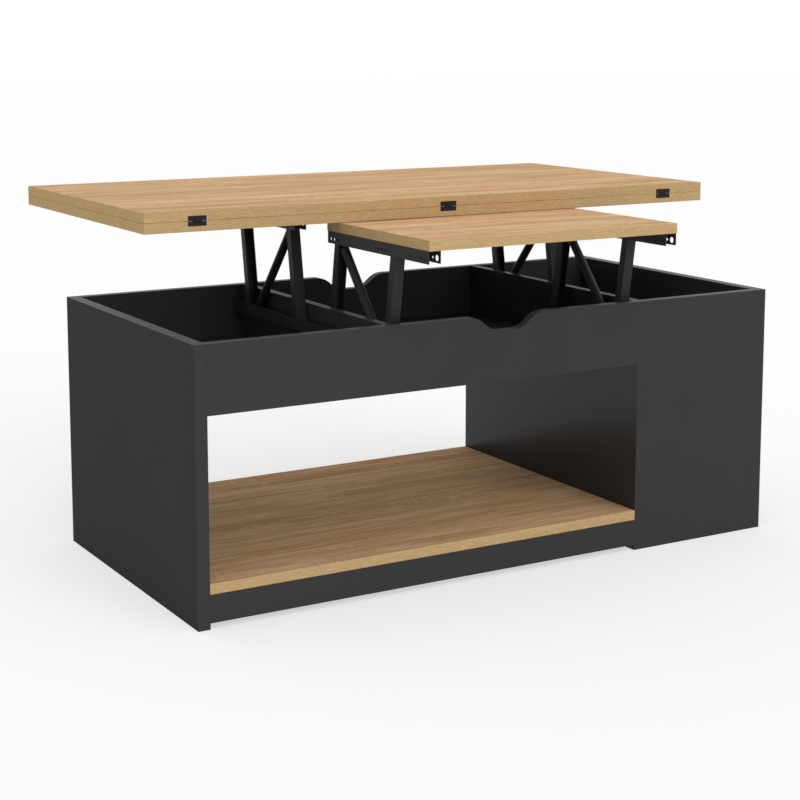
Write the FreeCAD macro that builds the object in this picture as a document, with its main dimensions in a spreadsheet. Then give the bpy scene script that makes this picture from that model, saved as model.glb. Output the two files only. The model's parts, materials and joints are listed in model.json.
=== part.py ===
import FreeCAD, Part
import math
import os
import re
import Sketcher
from FreeCAD import Rotation, Vector

# Convertible coffee dining table: an open cabinet, a folded double leaf that rises to the rear
# on two lifts, and a small support plate that rises to the front on two more.
# Places are measured from the foot of the cabinet's front left corner: X along the front,
# Y to the rear, Z up. The finished pieces stand round the middle of the raised table's footprint.

# Driving dimensions in millimetres and degrees
SIZES = {
    # Cabinet
    "cabinet_length": 1200,
    "cabinet_depth": 592,
    "cabinet_height": 474,
    "end_thickness": 22,
    "board_thickness": 18,
    "divider_thickness": 16,
    "apron_height": 118,
    "left_bin_length": 335,
    "right_bin_length": 271,
    "shelf_height": 59,
    "plinth_lift": 10.5,
    "edge_easing": 0.3,
    # Finger notch in each apron: a flat floor between two S curves
    "notch_depth": 27,
    "notch_floor": 28,
    "notch_run": 66,
    # Leaves and support plate
    "leaf_depth": 600,
    "leaf_thickness": 18,
    "leaf_seam": 0.5,
    "leaf_lap": 7.8,
    "rim_gap": 0.5,
    "lift_rise": 156,
    "plate_depth": 356,
    "plate_thickness": 18,
    "plate_gap": 0.8,
    "plate_side_gap": 0.8,
    "plate_margin": 3,
    # Lift arms, which lean past upright when raised
    "arm_reach": 180,
    "arm_lean": 9,
    "arm_spacing": 200,
    "arm_width": 20,
    "arm_depth": 16,
    "arm_wall": 1.5,
    "arm_play": 0.5,
    "rear_pivot_inset": 90,
    "front_pivot_inset": 44,
    # Lift rails
    "top_rail_height": 22,
    "top_rail_wall": 1.5,
    "top_rail_lead": 119,
    "top_rail_tail": 31,
    "top_pivot_drop": 17,
    "base_rail_height": 23,
    "base_rail_wall": 2,
    "base_rail_lead": 142,
    "base_pivot_drop": 12,
    "rear_rail_end": 48,
    "front_rail_end": 24,
    "key_hole_radius": 2.7,
    "key_hole_edge": 11,
    "key_hole_pitch": 13,
    "key_hole_rise": 3.5,
    "port_radius": 5.5,
    # Pivot and stop pins
    "pin_radius": 2.5,
    "pin_play": 0.05,
    "open_pivot_play": 0.2,
    "stop_reach": 10,
    "stop_gap": 0.3,
    # Traction struts
    "strut_radius": 8,
    "strut_reach": 216,
    "strut_plug": 21,
    "rod_radius": 3,
    "rod_play": 0.15,
    "rod_reach": 172,
    "eye_radius": 6,
    "eye_width": 8.4,
    "eye_play": 0.3,
    "eye_neck": 9,
    "ear_wall": 2,
    # Leaf hinges, let into the front edges of both leaves
    "hinge_inset": 97,
    "hinge_width": 34,
    "hinge_height": 7.9,
    "hinge_corner": 1.5,
    "hinge_wall": 1.7,
    "hinge_recess": 2,
    "hinge_fit": 0.3,
    "hinge_lead": 0.5,
    "hinge_split": 0.9,
    "knuckle_radius": 2,
    "knuckle_width": 5,
    "knuckle_span": 14,
    "knuckle_play": 0.3,
    "hinge_pin_radius": 1,
    "cut_overrun": 1,
}

# Worked-out sizes and places
PLACES = {
    "inner_length": "cabinet_length - 2 * end_thickness",
    "apron_floor": "cabinet_height - apron_height",
    "partition_x": "end_thickness + left_bin_length",
    "upright_x": "cabinet_length - end_thickness - right_bin_length - divider_thickness",
    "bay_length": "upright_x - end_thickness",
    "inner_depth": "cabinet_depth - 2 * board_thickness",
    "front_pivot_y": "front_pivot_inset",
    "rear_pivot_y": "cabinet_depth - rear_pivot_inset",
    "notch_radius": "(notch_run * notch_run + notch_depth * notch_depth) / (4 * notch_depth)",
    "base_rail_width": "arm_width + 2 * arm_play + 2 * base_rail_wall",
    "top_rail_width": "arm_width + 2 * arm_play + 2 * top_rail_wall",
    "ear_span": "eye_width + 2 * eye_play + 2 * ear_wall",
    "lean_run": "arm_reach * sin(arm_lean)",
    "lean_rise": "arm_reach * cos(arm_lean)",
    "fold_angle": "asin(cos(arm_lean) - lift_rise / arm_reach)",
    "lift_travel": "arm_reach * (cos(fold_angle) + sin(arm_lean))",
    "strut_tilt": "(90 - arm_lean) / 2",
    "foot_offset": "arm_spacing - arm_reach",
    "stop_run": "stop_reach * sin(arm_lean) + (arm_depth / 2 + pin_radius + stop_gap) * cos(arm_lean)",
    "stop_rise": "stop_reach * cos(arm_lean) - (arm_depth / 2 + pin_radius + stop_gap) * sin(arm_lean)",
    "leaf_front": "lift_travel - leaf_lap",
    "leaf_floor": "cabinet_height + rim_gap + lift_rise",
    "seam_z": "leaf_floor + leaf_thickness + leaf_seam / 2",
    "plate_floor": "leaf_floor - plate_gap - plate_thickness",
    "front_rail_lead": "plate_depth - 2 * plate_margin - arm_spacing - top_rail_tail",
    "plate_front": "front_pivot_y - lean_run - front_rail_lead - plate_margin",
    "rear_base_z": "leaf_floor - top_pivot_drop - lean_rise",
    "front_base_z": "plate_floor - top_pivot_drop - lean_rise",
    "middle_x": "cabinet_length / 2",
    "middle_y": "(plate_front + leaf_front + leaf_depth) / 2",
}

doc = FreeCAD.newDocument("convertible_table")
sheet = doc.addObject("Spreadsheet::Sheet", "Sizes")
for row, (alias, value) in enumerate([*SIZES.items(), *PLACES.items()], start=1):
    sheet.set(f"A{row}", alias)
    sheet.set(f"B{row}", f"={value}" if alias in PLACES else str(value))
    sheet.setAlias(f"B{row}", alias)
doc.recompute()

NODES = []


def linked(formula):
    """Points each size named in a formula at its cell of the sheet."""
    named = lambda word: f"Sizes.{word[0]}" if word[0] in SIZES or word[0] in PLACES else word[0]
    return re.sub(r"[a-z_]+", named, formula)


def bind(item, prop, formula):
    item.setExpression(prop, linked(formula))


def number(formula):
    value = sheet.evalExpression(linked(formula))
    return float(getattr(value, "Value", value))


def place(item, x, y, z, turn=None, side=1):
    """Puts an item at a place of the cabinet, tipped about X by the angle turn."""
    if turn:
        item.Placement.Rotation = Rotation(Vector(side, 0, 0), number(turn))
        bind(item, "Placement.Rotation.Angle", turn)
    bind(item, "Placement.Base.x", f"{x} - middle_x")
    bind(item, "Placement.Base.y", f"{y} - middle_y")
    bind(item, "Placement.Base.z", z)


def new_body(label):
    body = doc.addObject("PartDesign::Body", label)
    body.Label = label
    NODES.append(body)
    return body


def new_sketch(body, role, offset=None):
    """An empty sketch on one of the body's own planes, moved along its normal by offset."""
    sketch = body.newObject("Sketcher::SketchObject", f"{body.Label}_sketch")
    plane = next(item for item in body.Origin.OriginFeatures if item.Role == role)
    sketch.AttachmentSupport = [(plane, "")]
    sketch.MapMode = "FlatFace"
    if offset:
        bind(sketch, "AttachmentOffset.Base.z", offset)
    return sketch


def pin_down(sketch, curve, point, x, y):
    """Ties a point of a curve to the two formulas of its place."""
    for kind, formula in (("DistanceX", x), ("DistanceY", y)):
        if formula:
            rule = sketch.addConstraint(Sketcher.Constraint(kind, curve, point, number(formula)))
            bind(sketch, f"Constraints[{rule}]", formula)


def outline(sketch, corners):
    """Draws a closed outline through corners (x, y). A corner (x, y, centre_x, centre_y, turn)
    starts an arc about that centre, counterclockwise where turn is 1."""
    count = len(corners)
    curves = []
    for index, corner in enumerate(corners):
        following = corners[(index + 1) % count]
        start = Vector(number(corner[0]), number(corner[1]), 0)
        end = Vector(number(following[0]), number(following[1]), 0)
        if len(corner) == 2:
            curve = sketch.addGeometry(Part.LineSegment(start, end))
            curves.append((curve, 1, 2))
            continue
        centre = Vector(number(corner[2]), number(corner[3]), 0)
        first, last = (start, end) if corner[4] > 0 else (end, start)
        angles = [math.atan2(p.y - centre.y, p.x - centre.x) for p in (first, last)]
        circle = Part.Circle(centre, Vector(0, 0, 1), (start - centre).Length)
        curve = sketch.addGeometry(Part.ArcOfCircle(circle, *angles))
        curves.append((curve, 1, 2) if corner[4] > 0 else (curve, 2, 1))
    for index, (curve, head, tail) in enumerate(curves):
        following, next_head, _ = curves[(index + 1) % count]
        sketch.addConstraint(Sketcher.Constraint("Coincident", curve, tail, following, next_head))
        pin_down(sketch, curve, head, corners[index][0], corners[index][1])
        if len(corners[index]) > 2:
            pin_down(sketch, curve, 3, None, corners[index][3])
    return sketch


def rectangle(sketch, x0, y0, x1, y1):
    return outline(sketch, [(x0, y0), (x1, y0), (x1, y1), (x0, y1)])


def circles(sketch, radius, centres):
    for x, y in centres:
        spot = Vector(number(x), number(y), 0)
        curve = sketch.addGeometry(Part.Circle(spot, Vector(0, 0, 1), number(radius)))
        pin_down(sketch, curve, 3, x, y)
        rule = sketch.addConstraint(Sketcher.Constraint("Radius", curve, number(radius)))
        bind(sketch, f"Constraints[{rule}]", radius)
    return sketch


def extrude(body, kind, sketch, length=None, other=None, side="One side", back=False):
    """A Pad or Pocket of a sketch. With no length it runs through all; other is a second length."""
    feature = body.newObject(f"PartDesign::{kind}", f"{body.Label}_{kind.lower()}")
    feature.Profile = sketch
    feature.SideType = side
    feature.Reversed = back
    if length:
        bind(feature, "Length", length)
    else:
        feature.Type = "ThroughAll"
    if other:
        bind(feature, "Length2", other)
    return feature


def ease(body):
    """Takes the sharpness off every edge of a board."""
    base = body.Tip
    feature = body.newObject("PartDesign::Chamfer", f"{body.Label}_easing")
    feature.Base = (base, [""])
    feature.UseAllEdges = True
    bind(feature, "Size", "edge_easing")


def board(label, corner, size):
    """A plain board from its lower front left corner and its three sizes."""
    body = new_body(label)
    block = body.newObject("PartDesign::AdditiveBox", f"{label}_block")
    for prop, formula in zip(("Length", "Width", "Height"), size):
        bind(block, prop, formula)
    ease(body)
    place(body, *corner)
    return body


# Cabinet boards

def apron(label, y):
    """A long rim board with a finger notch at the middle of its upper edge."""
    body = new_body(label)
    top, mid = "apron_height", "inner_length / 2"
    bends = []
    for side in (1, -1):
        rim_x = f"{mid} + {side} * (notch_floor / 2 + notch_run)"
        bend_x = f"{mid} + {side} * (notch_floor / 2 + notch_run / 2)"
        floor_x = f"{mid} + {side} * notch_floor / 2"
        bends.append((rim_x, bend_x, floor_x))
    (rim_x, bend_x, floor_x), (left_rim_x, left_bend_x, left_floor_x) = bends
    crest, bend, floor = f"{top} - notch_radius", f"{top} - notch_depth / 2", f"{top} - notch_depth"
    trough = f"{floor} + notch_radius"
    sketch = outline(new_sketch(body, "XZ_Plane"), [
        ("0", "0"),
        ("inner_length", "0"),
        ("inner_length", top),
        (rim_x, top, rim_x, crest, 1),
        (bend_x, bend, floor_x, trough, -1),
        (floor_x, floor),
        (left_floor_x, floor, left_floor_x, trough, -1),
        (left_bend_x, bend, left_rim_x, crest, 1),
        (left_rim_x, top),
        ("0", top),
    ])
    extrude(body, "Pad", sketch, "board_thickness", back=True)
    ease(body)
    place(body, "end_thickness", y, "apron_floor")


def inner_upright():
    """The tall divider, cut back at its upper corners where the aprons pass."""
    body = new_body("inner_upright")
    back, rim = "cabinet_depth", "cabinet_height"
    sketch = outline(new_sketch(body, "YZ_Plane"), [
        ("0", "0"),
        (back, "0"),
        (back, "apron_floor"),
        (f"{back} - board_thickness", "apron_floor"),
        (f"{back} - board_thickness", rim),
        ("board_thickness", rim),
        ("board_thickness", "apron_floor"),
        ("0", "apron_floor"),
    ])
    extrude(body, "Pad", sketch, "divider_thickness")
    ease(body)
    place(body, "upright_x", "0", "0")


def cabinet():
    rear_board = "cabinet_depth - board_thickness"
    end_size = ("end_thickness", "cabinet_depth", "cabinet_height")
    board("left_end_panel", ("0", "0", "0"), end_size)
    board("right_end_panel", ("cabinet_length - end_thickness", "0", "0"), end_size)
    apron("front_apron", "0")
    apron("rear_apron", rear_board)
    board("storage_floor", ("end_thickness", "board_thickness", "apron_floor"),
          ("bay_length", "inner_depth", "board_thickness"))
    board("bay_shelf", ("end_thickness", "0", "shelf_height"),
          ("bay_length", "cabinet_depth", "board_thickness"))
    plinth_size = ("bay_length", "board_thickness", "shelf_height - plinth_lift")
    board("front_plinth", ("end_thickness", "0", "plinth_lift"), plinth_size)
    board("rear_plinth", ("end_thickness", rear_board, "plinth_lift"), plinth_size)
    bin_x = "upright_x + divider_thickness"
    wall_size = ("right_bin_length", "board_thickness", "apron_floor")
    board("cupboard_front", (bin_x, "0", "0"), wall_size)
    board("cupboard_back", (bin_x, rear_board, "0"), wall_size)
    board("cupboard_floor", (bin_x, "board_thickness", "shelf_height"),
          ("right_bin_length", "inner_depth", "board_thickness"))
    floor_top = "(apron_floor + board_thickness)"
    board("left_partition", ("partition_x", "board_thickness", floor_top),
          ("divider_thickness", "inner_depth", f"cabinet_height - {floor_top}"))
    inner_upright()


# Lifts. A rear lift leans to the rear when raised and a front lift to the front.
# Each side has a drive arm, a guide arm and a strut between them; lead is +1 to the rear.
# A front top rail runs nearly the depth of the support plate, which gives its lead.

REAR = {
    "name": "rear", "lead": 1, "y": "rear_pivot_y", "z": "rear_base_z",
    "base_lead": "rear_rail_end", "top_lead": "top_rail_lead",
}
FRONT = {
    "name": "front", "lead": -1, "y": "front_pivot_y", "z": "front_base_z",
    "base_lead": "front_rail_end", "top_lead": "front_rail_lead",
}


def lift_units():
    """Each unit's lift, side and middle plane, beside the face of the board that it is screwed to."""
    half = "base_rail_width / 2"
    return [
        (REAR, "left", f"partition_x - {half}"),
        (FRONT, "left", f"partition_x + divider_thickness + {half}"),
        (FRONT, "right", f"upright_x - {half}"),
        (REAR, "right", f"upright_x + divider_thickness + {half}"),
    ]


def along(lift, distance):
    """A distance from the drive pivot along the lift's own lead, as a formula in Y."""
    return f"{lift['lead']} * ({distance})"


def cross_pins(body, width, centres):
    """Pins riveted into both walls of a rail, on which arms and struts turn."""
    sketch = circles(new_sketch(body, "YZ_Plane"), "pin_radius", centres)
    extrude(body, "Pad", sketch, width, side="Symmetric")


def channel(body, lift, width, wall, web, free, lead, tail):
    """A U rail along Y, its web at one height and the free edges of its flanges at another."""
    half = f"{width} / 2"
    inner = f"({half} - {wall})"
    inner_web = f"{web} + {wall}" if web.startswith("base") else f"{web} - {wall}"
    sketch = outline(new_sketch(body, "XZ_Plane"), [
        (f"-{half}", free),
        (f"-{half}", web),
        (half, web),
        (half, free),
        (inner, free),
        (inner, inner_web),
        (f"-{inner}", inner_web),
        (f"-{inner}", free),
    ])
    front, rear = (tail, lead) if lift["lead"] > 0 else (lead, tail)
    extrude(body, "Pad", sketch, front, rear, "Two sides")


def base_rail(label, lift, x):
    """The lower rail, with ears for the strut's foot, pivot pins and the drive arm's stop pin."""
    body = new_body(label)
    web = "base_pivot_drop - base_rail_height"
    channel(body, lift, "base_rail_width", "base_rail_wall", web, "base_pivot_drop",
            lift["base_lead"], "arm_spacing + base_rail_lead")
    foot = along(lift, "-foot_offset")
    left, right = f"{foot} - eye_radius", f"{foot} + eye_radius"
    ears = outline(new_sketch(body, "YZ_Plane"), [
        (left, web),
        (right, web),
        (right, "0", foot, "0", 1),
        (left, "0"),
    ])
    extrude(body, "Pad", ears, "ear_span", side="Symmetric")
    gap = rectangle(new_sketch(body, "YZ_Plane"), f"{left} - cut_overrun", f"{web} + base_rail_wall",
                    f"{right} + cut_overrun", "eye_radius + cut_overrun")
    extrude(body, "Pocket", gap, "ear_span - 2 * ear_wall", side="Symmetric")
    cross_pins(body, "ear_span", [(foot, "0")])
    cross_pins(body, "base_rail_width", [
        ("0", "0"),
        (along(lift, "-arm_spacing"), "0"),
        (along(lift, "stop_run"), "stop_rise"),
    ])
    place(body, x, lift["y"], lift["z"])


def top_rail(label, lift, x):
    """The upper rail, with pivot pins, key holes near its ends and a port in its right flange."""
    body = new_body(label)
    channel(body, lift, "top_rail_width", "top_rail_wall", "top_pivot_drop",
            "top_pivot_drop - top_rail_height", lift["top_lead"], "arm_spacing + top_rail_tail")
    stations = [
        f"{lift['top_lead']} - key_hole_edge - key_hole_pitch",
        f"{lift['top_lead']} - key_hole_edge",
        "key_hole_edge - arm_spacing - top_rail_tail",
        "key_hole_edge + key_hole_pitch - arm_spacing - top_rail_tail",
    ]
    keys = circles(new_sketch(body, "YZ_Plane"), "key_hole_radius",
                   [(along(lift, station), "key_hole_rise") for station in stations])
    extrude(body, "Pocket", keys, side="Symmetric")
    port = circles(new_sketch(body, "YZ_Plane"), "port_radius", [(along(lift, stations[1]), "key_hole_rise")])
    extrude(body, "Pocket", port, back=True)
    cross_pins(body, "top_rail_width", [("0", "0"), (along(lift, "-arm_spacing"), "0")])
    place(body, x, f"{lift['y']} + {along(lift, 'lean_run')}", f"{lift['z']} + lean_rise")


def arm(label, lift, x, base, opening, top_play):
    """A U arm with round ends. Opening is the side, in Y, on which its channel is open."""
    body = new_body(label)
    half = "arm_depth / 2"
    sides = outline(new_sketch(body, "YZ_Plane"), [
        (f"-{half}", "0", "0", "0", 1),
        (half, "0"),
        (half, "arm_reach", "0", "arm_reach", 1),
        (f"-{half}", "arm_reach"),
    ])
    extrude(body, "Pad", sides, "arm_width", side="Symmetric")
    inner = "(arm_width / 2 - arm_wall)"
    trough = rectangle(new_sketch(body, "XY_Plane"), f"-{inner}", f"{opening} * ({half} + cut_overrun)",
                       inner, f"{-opening} * ({half} - arm_wall)")
    extrude(body, "Pocket", trough, side="Symmetric")
    for height, play in (("0", "pin_play"), ("arm_reach", top_play)):
        hole = circles(new_sketch(body, "YZ_Plane"), f"pin_radius + {play}", [("0", height)])
        extrude(body, "Pocket", hole, side="Symmetric")
    place(body, x, f"{lift['y']} + {along(lift, base)}", lift["z"], "arm_lean", -lift["lead"])


def eye(body, play, neck):
    """A flat round eye on the X axis with a neck towards Z."""
    end = f"{neck} * eye_neck"
    sketch = outline(new_sketch(body, "YZ_Plane"), [
        ("-eye_radius", "0", "0", "0", neck),
        ("eye_radius", "0"),
        ("eye_radius", end),
        ("-eye_radius", end),
    ])
    extrude(body, "Pad", sketch, "eye_width", side="Symmetric")
    hole = circles(new_sketch(body, "YZ_Plane"), f"pin_radius + {play}", [("0", "0")])
    extrude(body, "Pocket", hole, side="Symmetric")


def turned(body, corners):
    """A solid turned about the Z axis from its half outline."""
    sketch = outline(new_sketch(body, "XZ_Plane"), corners)
    feature = body.newObject("PartDesign::Revolution", f"{body.Label}_turning")
    feature.Profile = sketch
    feature.ReferenceAxis = (sketch, ["V_Axis"])


def strut_cylinder(label, lift, x):
    """The strut's tube on its foot eye, bored for the rod from its mouth."""
    body = new_body(label)
    bore = "rod_radius + rod_play"
    turned(body, [
        ("0", "eye_neck"),
        ("strut_radius", "eye_neck"),
        ("strut_radius", "strut_reach"),
        (bore, "strut_reach"),
        (bore, "eye_neck + strut_plug"),
        ("0", "eye_neck + strut_plug"),
    ])
    eye(body, "pin_play", 1)
    place(body, x, f"{lift['y']} + {along(lift, '-foot_offset')}", lift["z"], "strut_tilt", lift["lead"])


def strut_rod(label, lift, x):
    """The strut's rod under its top eye."""
    body = new_body(label)
    turned(body, [
        ("0", "0 - rod_reach"),
        ("rod_radius", "0 - rod_reach"),
        ("rod_radius", "0 - eye_radius"),
        ("0", "0 - eye_radius"),
    ])
    eye(body, "open_pivot_play", -1)
    place(body, x, f"{lift['y']} + {along(lift, 'lean_run - arm_spacing')}",
          f"{lift['z']} + lean_rise", "strut_tilt", lift["lead"])


def lifts():
    for lift, side, x in lift_units():
        stem = f"{lift['name']}_{side}"
        base_rail(f"{stem}_base_rail", lift, x)
        top_rail(f"{stem}_top_rail", lift, x)
        arm(f"{stem}_drive_arm", lift, x, "0", -lift["lead"], "pin_play")
        arm(f"{stem}_guide_arm", lift, x, "-arm_spacing", lift["lead"], "open_pivot_play")
        strut_cylinder(f"{stem}_strut_cylinder", lift, x)
        strut_rod(f"{stem}_strut_rod", lift, x)


# Leaves, support plate and hinges

def hinge_places():
    return {
        "left": "hinge_inset",
        "centre": "cabinet_length / 2",
        "right": "cabinet_length - hinge_inset",
    }


def leaf(label, z, seam_side):
    """One leaf of the top, with a recess for each hinge at the seam side of its front edge."""
    body = board(label, ("0", "leaf_front", z), ("cabinet_length", "leaf_depth", "leaf_thickness"))
    seam = "leaf_thickness" if seam_side > 0 else "0"
    reach = "hinge_split + hinge_height + hinge_fit - leaf_seam / 2"
    wide = "(hinge_width / 2 + hinge_fit)"
    for middle in hinge_places().values():
        recess = rectangle(new_sketch(body, "XZ_Plane"),
                           f"{middle} - {wide}", f"{seam} - {seam_side} * ({reach})",
                           f"{middle} + {wide}", f"{seam} + {seam_side} * cut_overrun")
        extrude(body, "Pocket", recess, "hinge_recess")
    return body


def top_boards():
    leaf("lower_leaf", "leaf_floor", 1)
    leaf("upper_leaf", "leaf_floor + leaf_thickness + leaf_seam", -1)
    plate_x = "partition_x + divider_thickness + plate_side_gap"
    board("support_plate", (plate_x, "plate_front", "plate_floor"),
          (f"upright_x - plate_side_gap - ({plate_x})", "plate_depth", "plate_thickness"))


def hinge_plate(label, middle, rise):
    """Half a hinge on the pin's axis: rise is -1 for the lower plate with the middle knuckle and
    the pin, and 1 for the upper plate with the two outer knuckles."""
    body = new_body(label)
    near, far = f"{rise} * hinge_split", f"{rise} * (hinge_split + hinge_height)"
    bend = f"{rise} * (hinge_split + hinge_height - hinge_corner)"
    edge, flat = "hinge_width / 2", "(hinge_width / 2 - hinge_corner)"
    plate = outline(new_sketch(body, "XZ_Plane", "0 - (hinge_lead + hinge_recess)"), [
        (f"-{edge}", near),
        (edge, near),
        (edge, bend, flat, bend, rise),
        (flat, far),
        (f"-{flat}", far, f"-{flat}", bend, rise),
        (f"-{edge}", bend),
    ])
    extrude(body, "Pad", plate, "hinge_wall")
    room = "knuckle_radius + knuckle_play"
    half = "knuckle_width / 2"
    axis = [("0", "0")]
    if rise < 0:
        for side in (1, -1):
            clear = circles(new_sketch(body, "YZ_Plane", f"{side} * {half}"), room, axis)
            extrude(body, "Pocket", clear, f"knuckle_span / 2 + knuckle_play - {half}", back=side > 0)
        knuckle = circles(new_sketch(body, "YZ_Plane"), "knuckle_radius", axis)
        extrude(body, "Pad", knuckle, "knuckle_width", side="Symmetric")
        pin = circles(new_sketch(body, "YZ_Plane"), "hinge_pin_radius", axis)
        extrude(body, "Pad", pin, "knuckle_span", side="Symmetric")
    else:
        clear = circles(new_sketch(body, "YZ_Plane"), room, axis)
        extrude(body, "Pocket", clear, "knuckle_width + 2 * knuckle_play", side="Symmetric")
        for side in (1, -1):
            start = f"{side} * ({half} + knuckle_play)"
            knuckle = circles(new_sketch(body, "YZ_Plane", start), "knuckle_radius", axis)
            extrude(body, "Pad", knuckle, f"knuckle_span / 2 - {half} - knuckle_play", back=side < 0)
        bore = circles(new_sketch(body, "YZ_Plane"), "hinge_pin_radius + pin_play", axis)
        extrude(body, "Pocket", bore, side="Symmetric")
    place(body, middle, "leaf_front - hinge_lead", "seam_z")


def hinges():
    for side, middle in hinge_places().items():
        hinge_plate(f"{side}_hinge_lower_plate", middle, -1)
        hinge_plate(f"{side}_hinge_upper_plate", middle, 1)


cabinet()
lifts()
top_boards()
hinges()
doc.recompute()

failed = [item.Label for item in doc.Objects if {"Invalid", "Error"} & set(item.State)]
failed += [node.Label for node in NODES if node.Shape.isNull() or not node.Shape.isValid()]
if failed:
    raise RuntimeError(f"failed: {failed}")

os.makedirs("parts", exist_ok=True)
for node in NODES:
    node.Shape.exportStep(f"parts/{node.Label}.step")

print(f"nodes: {len(NODES)}")
for alias in ("fold_angle", "lift_travel", "leaf_front", "plate_front", "middle_y"):
    print(alias, number(alias))
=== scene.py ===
import json
import math

import bmesh
import bpy
from mathutils import Euler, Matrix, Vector


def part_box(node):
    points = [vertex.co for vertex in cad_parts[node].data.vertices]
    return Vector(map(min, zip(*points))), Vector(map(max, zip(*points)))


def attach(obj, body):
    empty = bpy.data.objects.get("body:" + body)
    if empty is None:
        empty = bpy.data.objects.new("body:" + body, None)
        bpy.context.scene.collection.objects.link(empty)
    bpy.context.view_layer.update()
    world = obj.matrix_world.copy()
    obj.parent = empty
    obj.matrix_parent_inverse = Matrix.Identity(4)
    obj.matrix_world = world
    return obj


# Convertible coffee dining table: finishes, fasteners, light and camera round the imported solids.
# Lengths are in metres and angles in degrees.

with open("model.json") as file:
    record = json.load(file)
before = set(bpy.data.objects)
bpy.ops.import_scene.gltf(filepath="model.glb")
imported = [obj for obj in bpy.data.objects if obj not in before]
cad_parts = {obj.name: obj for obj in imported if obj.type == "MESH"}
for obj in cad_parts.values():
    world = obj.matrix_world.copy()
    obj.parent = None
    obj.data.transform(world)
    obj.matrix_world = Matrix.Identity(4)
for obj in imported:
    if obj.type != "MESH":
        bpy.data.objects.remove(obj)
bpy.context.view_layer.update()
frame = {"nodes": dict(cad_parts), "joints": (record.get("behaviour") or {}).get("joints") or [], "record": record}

MM = 0.001
JOINTS = {joint["name"]: Vector(joint["pos_m"]) for joint in frame["joints"]}
SLOTS = {part["node"]: part["material_slot"] for part in frame["record"]["subparts"]}

# Colours, as linear light
WHITE = (1, 1, 1, 1)
OAK_FACE = (0.69, 0.447, 0.241, 1)
OAK_EDGE = (0.458, 0.314, 0.148, 1)
OAK_BROWN = (0.38, 0.215, 0.100, 1)
OAK_RED = (0.56, 0.310, 0.155, 1)
OAK_PALE = (0.84, 0.620, 0.420, 1)
GRAPHITE = (0.046, 0.046, 0.046, 1)
GRAPHITE_DEEP = (0.040, 0.040, 0.040, 1)
SATIN_GRAPHITE = (0.028, 0.028, 0.028, 1)
POWDER_BLACK = (0.024, 0.024, 0.025, 1)
STRUT_BLACK = (0.020, 0.020, 0.021, 1)
HINGE_BLACK = (0.014, 0.014, 0.015, 1)
ROD_GREY = (0.09, 0.09, 0.095, 1)
ZINC_GREY = (0.16, 0.16, 0.165, 1)
# Near-black painted shade for the discs that stand in for the rail holes
HOLE_SHADE_BLACK = (0.003, 0.003, 0.003, 1)
FLOOR_WHITE = (0.97, 0.97, 0.97, 1)

# Gloss and roughness
OAK_GLOSS, OAK_ROUGHNESS = 0.008, 0.6
MATT_GLOSS, MATT_ROUGHNESS = 0.002, 0.42
SATIN_GLOSS, SATIN_ROUGHNESS = 0.2, 0.25
RIM_GLOSS = 0.12
PAINT_GLOSS, PLATING_GLOSS = 0.12, 0.4
FLOOR_GLOSS, FLOOR_ROUGHNESS = 0.0, 0.9

# Relief of the surfaces: its strength and its depth
OAK_RELIEF = (0.08, 0.4 * MM)
BOARD_RELIEF = (0.05, 0.2 * MM)
METAL_RELIEF = (0.06, 0.2 * MM)

# Noises: features to a metre along the grain and across it, and octaves of detail
PORES = (16, 330, 3)
SAW_MARKS = (400, 32, 1)
SAW_PATCHES = (6, 20, 2)
MOTTLE = (9, 9, 4)
ORANGE_PEEL = (900, 900, 2)
METAL_GRAIN = (1400, 1400, 2)
LAYER_DETAIL = 3
NOISE_ROUGHNESS = 0.6

# The stretch of the noise in which saw marks and their patches show, and the most that a mark lightens
SAW_MARKS_SHOW = (0.50, 0.64)
SAW_PATCHES_SHOW = (0.50, 0.62)
SAW_AMOUNT = 0.42

# Layers of the oak print: the tone that each lays on, its features to a metre along and across the
# grain, the stretch of the noise that shows, and the most of the tone that is laid on
FACE_LAYERS = [
    (OAK_BROWN, (0.6, 9), (0.38, 0.66), 0.48),
    (OAK_RED, (0.8, 17), (0.46, 0.66), 0.50),
    (OAK_BROWN, (1.3, 36), (0.46, 0.62), 0.50),
    (OAK_BROWN, (1.2, 62), (0.56, 0.66), 0.50),
    (OAK_BROWN, (2.6, 110), (0.50, 0.62), 0.36),
    (OAK_PALE, (6, 150), (0.50, 0.62), 0.42),
    (OAK_BROWN, (16, 330), (0.52, 0.66), 0.44),
]
EDGE_LAYERS = [
    (OAK_BROWN, (2, 70), (0.44, 0.64), 0.12),
    (OAK_BROWN, (60, 560), (0.46, 0.62), 0.22),
    (OAK_PALE, (80, 640), (0.50, 0.62), 0.20),
]

# A face looks along an axis where the share of its normal along it is above the first of these.
# On a level board, the edges are where the share along Z is below the second.
FACING_SHARE = 0.7
EDGE_SHARE = 0.4

# Sockets of the mix node for each kind of data: both inputs, then the output
MIX_FACTOR = 0
MIX_SOCKETS = {"FLOAT": (2, 3, 0), "VECTOR": (4, 5, 1), "RGBA": (6, 7, 2)}


# Materials

def new_material(name, roughness, gloss, metallic=0.0):
    """A material, its node tree and its one shader."""
    material = bpy.data.materials.new(name)
    material.use_nodes = True
    tree = material.node_tree
    shader = tree.nodes["Principled BSDF"]
    shader.inputs["Roughness"].default_value = roughness
    shader.inputs["Specular IOR Level"].default_value = gloss
    shader.inputs["Metallic"].default_value = metallic
    return material, tree, shader


def add_node(tree, kind, links=None, **settings):
    """A node with its settings and its inputs, linked or set, by socket name or number."""
    node = tree.nodes.new(kind)
    for name, value in settings.items():
        setattr(node, name, value)
    for socket, source in (links or {}).items():
        if isinstance(source, bpy.types.NodeSocket):
            tree.links.new(source, node.inputs[socket])
        else:
            node.inputs[socket].default_value = source
    return node


def split(tree, vector):
    """The X, Y and Z of a vector."""
    return add_node(tree, "ShaderNodeSeparateXYZ", {"Vector": vector}).outputs


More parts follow.
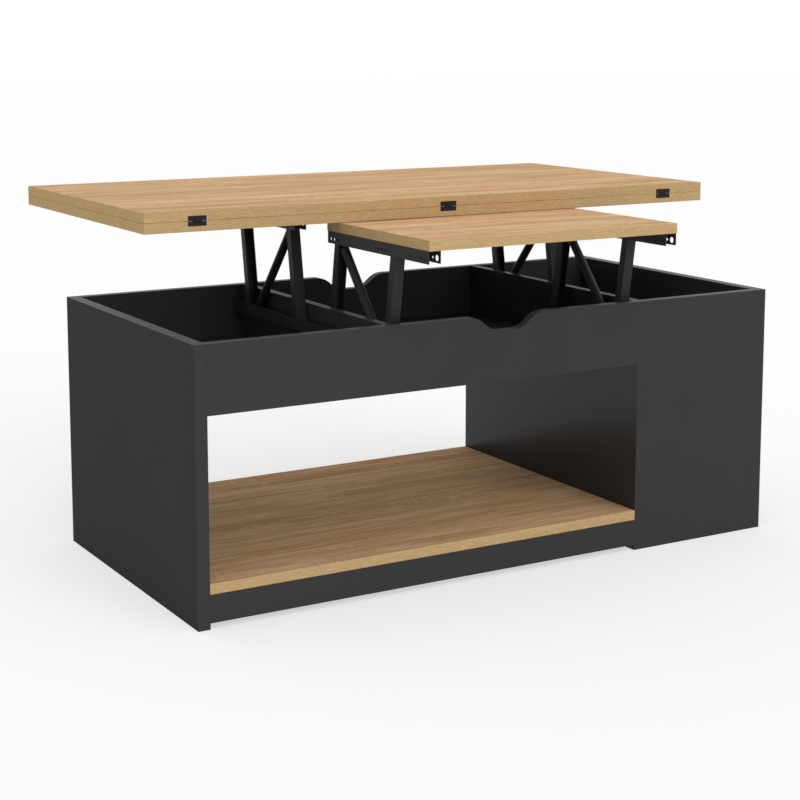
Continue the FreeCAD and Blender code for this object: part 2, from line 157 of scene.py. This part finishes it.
def arithmetic(tree, operation, first, second=0.0):
    return add_node(tree, "ShaderNodeMath", {0: first, 1: second}, operation=operation).outputs["Value"]


def mix(tree, kind, factor, first, second):
    """A mix of two numbers, vectors or colours."""
    start, end, result = MIX_SOCKETS[kind]
    node = add_node(tree, "ShaderNodeMix", {MIX_FACTOR: factor, start: first, end: second}, data_type=kind)
    return node.outputs[result]


def noise(tree, place, along, across, detail, shift=(0, 0, 0), shows=(0.0, 1.0)):
    """Noise with so many features to a metre along X and across it. The stretch of it that shows is
    taken to the whole of 0 to 1."""
    mapping = add_node(tree, "ShaderNodeMapping", {
        "Vector": place, "Scale": (along, across, across), "Location": shift})
    texture = add_node(tree, "ShaderNodeTexNoise", {
        "Vector": mapping.outputs["Vector"], "Scale": 1.0, "Detail": detail, "Roughness": NOISE_ROUGHNESS})
    low, high = shows
    spread = add_node(tree, "ShaderNodeMapRange", {
        "Value": texture.outputs["Fac"], "From Min": low, "From Max": high})
    return spread.outputs["Result"]


def tint(tree, colour, tone, mask, amount):
    """Lays a tone over a colour where the mask is, up to an amount."""
    return mix(tree, "RGBA", arithmetic(tree, "MULTIPLY", mask, amount), colour, tone)


def roughen(tree, shader, height, relief):
    """Gives the shader's surface a relief that follows a height."""
    strength, depth = relief
    bump = add_node(tree, "ShaderNodeBump", {"Height": height, "Strength": strength, "Distance": depth})
    tree.links.new(bump.outputs["Normal"], shader.inputs["Normal"])


def looks_along(tree, share):
    """1 on the faces that look either way along an axis, from the normal's share along it."""
    return arithmetic(tree, "GREATER_THAN", arithmetic(tree, "ABSOLUTE", share), FACING_SHARE)


def grain_place(tree, place, facing):
    """A place on a board with its grain along X, or along Y on the faces at the ends of the board."""
    parts = split(tree, place)
    swapped = add_node(tree, "ShaderNodeCombineXYZ", {"X": parts["Y"], "Y": parts["X"], "Z": parts["Z"]})
    return mix(tree, "VECTOR", looks_along(tree, facing["X"]), place, swapped.outputs["Vector"])


def layered(tree, colour, layers, grain, shift):
    """Lays each layer of a print over a colour, from its own stretch of noise."""
    for tone, (along, across), shows, amount in layers:
        mask = noise(tree, grain, along, across, LAYER_DETAIL, shift, shows)
        colour = tint(tree, colour, tone, mask, amount)
        shift = (shift[1], shift[2], shift[0])
    return colour


def oak(name, shift):
    """Sawn oak print: streaks, pale flecks and pores along the grain, saw marks across it in patches,
    and a finely speckled edge band. The shift gives each board its own stretch of the print."""
    material, tree, shader = new_material(name, OAK_ROUGHNESS, OAK_GLOSS)
    place = add_node(tree, "ShaderNodeTexCoord").outputs
    facing = split(tree, place["Normal"])
    grain = grain_place(tree, place["Object"], facing)
    marks = noise(tree, grain, *SAW_MARKS, shift, SAW_MARKS_SHOW)
    patches = noise(tree, grain, *SAW_PATCHES, shift, SAW_PATCHES_SHOW)
    face = layered(tree, OAK_FACE, FACE_LAYERS, grain, shift)
    face = tint(tree, face, OAK_PALE, arithmetic(tree, "MULTIPLY", marks, patches), SAW_AMOUNT)
    edge = layered(tree, OAK_EDGE, EDGE_LAYERS, grain, shift)
    upright = arithmetic(tree, "LESS_THAN", arithmetic(tree, "ABSOLUTE", facing["Z"]), EDGE_SHARE)
    tree.links.new(mix(tree, "RGBA", upright, face, edge), shader.inputs["Base Color"])
    roughen(tree, shader, noise(tree, grain, *PORES, shift), OAK_RELIEF)
    return material


def graphite_board(name, satin_sides=False):
    """Dark melamine board with a faint mottle, a fine orange-peel surface and glossier upper faces.
    With satin sides its two faces across X show what stands beside them."""
    material, tree, shader = new_material(name, MATT_ROUGHNESS, MATT_GLOSS)
    place = add_node(tree, "ShaderNodeTexCoord").outputs
    facing = split(tree, place["Normal"])
    colour = mix(tree, "RGBA", noise(tree, place["Object"], *MOTTLE), GRAPHITE, GRAPHITE_DEEP)
    upper = arithmetic(tree, "GREATER_THAN", facing["Z"], FACING_SHARE)
    gloss = mix(tree, "FLOAT", upper, MATT_GLOSS, RIM_GLOSS)
    if satin_sides:
        sides = looks_along(tree, facing["X"])
        colour = mix(tree, "RGBA", sides, colour, SATIN_GRAPHITE)
        gloss = mix(tree, "FLOAT", sides, gloss, SATIN_GLOSS)
        roughness = mix(tree, "FLOAT", sides, MATT_ROUGHNESS, SATIN_ROUGHNESS)
        tree.links.new(roughness, shader.inputs["Roughness"])
    tree.links.new(colour, shader.inputs["Base Color"])
    tree.links.new(gloss, shader.inputs["Specular IOR Level"])
    roughen(tree, shader, noise(tree, place["Object"], *ORANGE_PEEL), BOARD_RELIEF)
    return material


def coated_metal(name, colour, roughness, gloss, metallic):
    """Painted or plated metal with a fine grain to its surface."""
    material, tree, shader = new_material(name, roughness, gloss, metallic)
    shader.inputs["Base Color"].default_value = colour
    place = add_node(tree, "ShaderNodeTexCoord").outputs["Object"]
    roughen(tree, shader, noise(tree, place, *METAL_GRAIN), METAL_RELIEF)
    return material


def paint(item, material):
    item.data.materials.clear()
    item.data.materials.append(material)


# Each oak board's own stretch of the print
OAK_SHIFTS = {
    "upper_leaf": (0.7, 2.3, 5.1),
    "lower_leaf": (3.1, 8.4, 1.7),
    "support_plate": (6.2, 4.9, 9.3),
    "bay_shelf": (9.5, 1.6, 3.8),
}

# Metals, and the near-black of painted hole shade: colour, roughness, gloss and how metallic they are
METALS = {
    "black_steel": (POWDER_BLACK, 0.45, PAINT_GLOSS, 0.0),
    "strut_tube": (STRUT_BLACK, 0.36, PAINT_GLOSS, 0.0),
    "strut_rod": (ROD_GREY, 0.3, PLATING_GLOSS, 0.8),
    "hinge_metal": (HINGE_BLACK, 0.4, PAINT_GLOSS, 0.0),
    "zinc": (ZINC_GREY, 0.35, PLATING_GLOSS, 0.7),
    # The hole finish is painted shade: it darkens the discs laid where the rail holes are
    "hole": (HOLE_SHADE_BLACK, 0.8, PAINT_GLOSS, 0.0),
}

FINISHES = {name: coated_metal(name, *values) for name, values in METALS.items()}
FINISHES["graphite_board"] = graphite_board("graphite_board")

OWN_FINISHES = {node: oak(f"oak_{node}", shift) for node, shift in OAK_SHIFTS.items()}
OWN_FINISHES["inner_upright"] = graphite_board("graphite_satin", satin_sides=True)

for node, item in frame["nodes"].items():
    paint(item, OWN_FINISHES.get(node) or FINISHES[SLOTS[node]])


# Fasteners

RIVET_RADIUS, RIVET_HEIGHT = 4.5 * MM, 1.1 * MM
SCREW_RADIUS, SCREW_HEIGHT = 3.4 * MM, 1.4 * MM
HINGE_SCREW_RADIUS, HINGE_SCREW_HEIGHT = 1.7 * MM, 0.25 * MM
HINGE_WALL = 1.7 * MM
TOP_RAIL_WALL = 1.5 * MM
HOLE_RADIUS, HOLE_HEIGHT = 2.7 * MM, 0.06 * MM
HOLE_RISE = 3.5 * MM

# Sides of a round piece, and of a small one
SEGMENTS, SMALL_SEGMENTS = 20, 14

# A domed head's rings, as shares of its radius and height
DOME_SHARES = ((1, 0), (0.96, 0.45), (0.7, 0.85), (0.3, 1))

# Shares of a top rail's length and of a hinge plate's width and height
RAIL_SCREW_SHARES = (0.17, 0.45, 0.95)
HINGE_SCREW_SHARE = 0.27
HINGE_HEIGHT_SHARES = {"lower": 0.36, "upper": 0.64}

# Blind holes along the rails, drawn as dark discs of painted shade, from the drive pivot of a top rail and the
# guide pivot of a base rail
TOP_HOLES = (22 * MM, 35 * MM, 48 * MM, 194 * MM)
BASE_HOLES = (-12 * MM, -45 * MM, -58 * MM)

# Each lift unit, and the side of it that faces away from its board
UNITS = {"rear_left": -1, "front_left": 1, "front_right": -1, "rear_right": 1}

# For each lift: the joints at the pins of its base rail and top rail, the body of the top rail,
# and the way from its drive pivots to its guide pivots
LIFTS = {
    "rear": (("lift", "rear_guide"), ("rear_top_level", "rear_rod_swing"), "top_frame", -1),
    "front": (("front_lift", "front_guide"), ("front_plate_level", "front_rod_swing"), "plate_frame", 1),
}


def dome(radius, height):
    return [(radius * wide, height * high) for wide, high in DOME_SHARES]


def disc(radius, height):
    return [(radius, 0), (radius, height)]


def turned_piece(name, profile, place, axis, body, material, segments=SEGMENTS):
    """A small piece turned from (radius, height) points, standing on a face along axis."""
    mesh = bmesh.new()
    turns = [math.tau * step / segments for step in range(segments)]
    rings = []
    for radius, height in profile:
        rings.append([mesh.verts.new((radius * math.cos(t), radius * math.sin(t), height)) for t in turns])
    for lower, upper in zip(rings, rings[1:]):
        for step in range(segments):
            following = (step + 1) % segments
            mesh.faces.new((lower[step], lower[following], upper[following], upper[step]))
    mesh.faces.new(rings[-1])
    data = bpy.data.meshes.new(name)
    mesh.to_mesh(data)
    mesh.free()
    data.shade_smooth()
    item = bpy.data.objects.new(name, data)
    bpy.context.scene.collection.objects.link(item)
    item.rotation_euler = Vector(axis).to_track_quat("Z", "Y").to_euler()
    item.location = place
    paint(item, material)
    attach(item, body)


def side_of(node, side):
    """The X of a node's right side, or of its left one where side is negative."""
    low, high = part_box(node)
    return high.x if side > 0 else low.x


def rivets():
    """Rivet heads on the pins, on the side of each rail away from its board."""
    for unit, side in UNITS.items():
        base, top, carrier, _ = LIFTS[unit.split("_")[0]]
        for joints, rail, body in ((base, "base_rail", "cabinet"), (top, "top_rail", carrier)):
            x = side_of(f"{unit}_{rail}", side)
            for joint in joints:
                place = Vector((x, JOINTS[joint].y, JOINTS[joint].z))
                turned_piece(f"{unit}_{joint}_rivet", dome(RIVET_RADIUS, RIVET_HEIGHT), place,
                             (side, 0, 0), body, FINISHES["black_steel"])


def rail_hole_shade_discs():
    """Rows of small dark discs on both flanges of the top rails and the free flange of the base rails: painted
    shade standing in for the holes.
    """
    for unit, free_side in UNITS.items():
        base, top, carrier, way = LIFTS[unit.split("_")[0]]
        rows = [("base_rail", "cabinet", JOINTS[base[1]], BASE_HOLES, free_side)]
        rows += [("top_rail", carrier, JOINTS[top[0]], TOP_HOLES, side) for side in (-1, 1)]
        for rail, body, pivot, offsets, side in rows:
            x = side_of(f"{unit}_{rail}", side)
            for offset in offsets:
                place = Vector((x, pivot.y + way * offset, pivot.z + HOLE_RISE))
                turned_piece(f"{unit}_{rail}_hole", disc(HOLE_RADIUS, HOLE_HEIGHT), place,
                             (side, 0, 0), body, FINISHES["hole"], SMALL_SEGMENTS)


def rail_screws():
    """Pan-head screws under the web of each top rail."""
    for unit in UNITS:
        lift = unit.split("_")[0]
        low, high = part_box(f"{unit}_top_rail")
        start, end = (high.y, low.y) if lift == "rear" else (low.y, high.y)
        for share in RAIL_SCREW_SHARES:
            place = Vector(((low.x + high.x) / 2, start + share * (end - start), high.z - TOP_RAIL_WALL))
            turned_piece(f"{unit}_rail_screw", dome(SCREW_RADIUS, SCREW_HEIGHT), place, (0, 0, -1),
                         LIFTS[lift][2], FINISHES["zinc"])


def hinge_screws():
    """Two flat screw heads in each hinge plate."""
    for side in ("left", "centre", "right"):
        for half, body in (("lower", "top_frame"), ("upper", "upper_leaf")):
            low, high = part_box(f"{side}_hinge_{half}_plate")
            z = low.z + HINGE_HEIGHT_SHARES[half] * (high.z - low.z)
            for share in (-HINGE_SCREW_SHARE, HINGE_SCREW_SHARE):
                x = (low.x + high.x) / 2 + share * (high.x - low.x)
                turned_piece(f"{side}_hinge_{half}_screw", dome(HINGE_SCREW_RADIUS, HINGE_SCREW_HEIGHT),
                             Vector((x, high.y - HINGE_WALL, z)), (0, -1, 0), body,
                             FINISHES["hinge_metal"], SMALL_SEGMENTS)


rivets()
rail_hole_shade_discs()
rail_screws()
hinge_screws()


# Stage, light and camera

# How far the floor goes each way, and the share of plain white in what is seen of it
FLOOR_REACH = 30
FLOOR_GLOW = 0.56

# The white room as a light, and its soft lamps: the way their light goes, its strength and their width
ROOM_LIGHT = 0.62
LAMPS = {
    "overhead": ((-0.05, 0.15, -1.0), 0.42, 70),
    "front": ((-0.16, 1.0, -0.48), 1.2, 50),
    "back": ((0.22, -1.0, -1.1), 0.35, 50),
}

# The photograph's camera: turned and tipped down, with a little downward shift for its upright sides.
# The sensor's width and the lens are in millimetres.
CAMERA_PLACE = (-1.683, -2.845, 0.966)
CAMERA_TURN = 30.35
CAMERA_TIP = 8.15
CAMERA_LENS = 77.8
CAMERA_SENSOR = 36
CAMERA_SHIFT = -0.15


def seen_rays(tree):
    """1 for the rays with which the camera, reflections and glass see a surface, and 0 for light."""
    rays = add_node(tree, "ShaderNodeLightPath").outputs
    seen = arithmetic(tree, "MAXIMUM", rays["Is Camera Ray"], rays["Is Glossy Ray"])
    return arithmetic(tree, "MAXIMUM", seen, rays["Is Transmission Ray"])


def floor():
    """A pale floor that is seen part way to white and keeps a light shadow."""
    corners = [(-FLOOR_REACH, -FLOOR_REACH, 0), (FLOOR_REACH, -FLOOR_REACH, 0),
               (FLOOR_REACH, FLOOR_REACH, 0), (-FLOOR_REACH, FLOOR_REACH, 0)]
    mesh = bpy.data.meshes.new("floor")
    mesh.from_pydata(corners, [], [(0, 1, 2, 3)])
    item = bpy.data.objects.new("floor", mesh)
    bpy.context.scene.collection.objects.link(item)
    material, tree, shader = new_material("floor", FLOOR_ROUGHNESS, FLOOR_GLOSS)
    shader.inputs["Base Color"].default_value = FLOOR_WHITE
    white = add_node(tree, "ShaderNodeEmission", {"Color": WHITE, "Strength": 1.0})
    share = arithmetic(tree, "MULTIPLY", seen_rays(tree), FLOOR_GLOW)
    mixed = add_node(tree, "ShaderNodeMixShader",
                     {0: share, 1: shader.outputs["BSDF"], 2: white.outputs["Emission"]})
    tree.links.new(mixed.outputs["Shader"], tree.nodes["Material Output"].inputs["Surface"])
    paint(item, material)


def sun(name, direction, strength, angle):
    """A lamp as wide as an angle of the sky, whose light goes in a direction."""
    data = bpy.data.lights.new(name, "SUN")
    data.energy = strength
    data.angle = math.radians(angle)
    item = bpy.data.objects.new(name, data)
    item.rotation_euler = Vector(direction).to_track_quat("-Z", "Y").to_euler()
    bpy.context.scene.collection.objects.link(item)


def studio():
    """A white room: full white where the camera and reflections see it, softer as a light, with broad
    lamps overhead, from the front, a little to the right, and from behind, a little to the left."""
    world = bpy.data.worlds.new("studio")
    world.use_nodes = True
    tree = world.node_tree
    background = tree.nodes["Background"]
    background.inputs["Color"].default_value = WHITE
    strength = add_node(tree, "ShaderNodeMapRange",
                        {"Value": seen_rays(tree), "To Min": ROOM_LIGHT, "To Max": 1.0})
    tree.links.new(strength.outputs["Result"], background.inputs["Strength"])
    bpy.context.scene.world = world
    for name, values in LAMPS.items():
        sun(name, *values)


def camera():
    data = bpy.data.cameras.new("camera")
    data.sensor_width = CAMERA_SENSOR
    data.lens = CAMERA_LENS
    data.shift_y = CAMERA_SHIFT
    item = bpy.data.objects.new("camera", data)
    item.location = CAMERA_PLACE
    item.rotation_euler = Euler((math.radians(90 - CAMERA_TIP), 0, math.radians(-CAMERA_TURN)))
    bpy.context.scene.collection.objects.link(item)
    bpy.context.scene.camera = item


floor()
studio()
camera()
bpy.context.scene.view_settings.view_transform = "Standard"
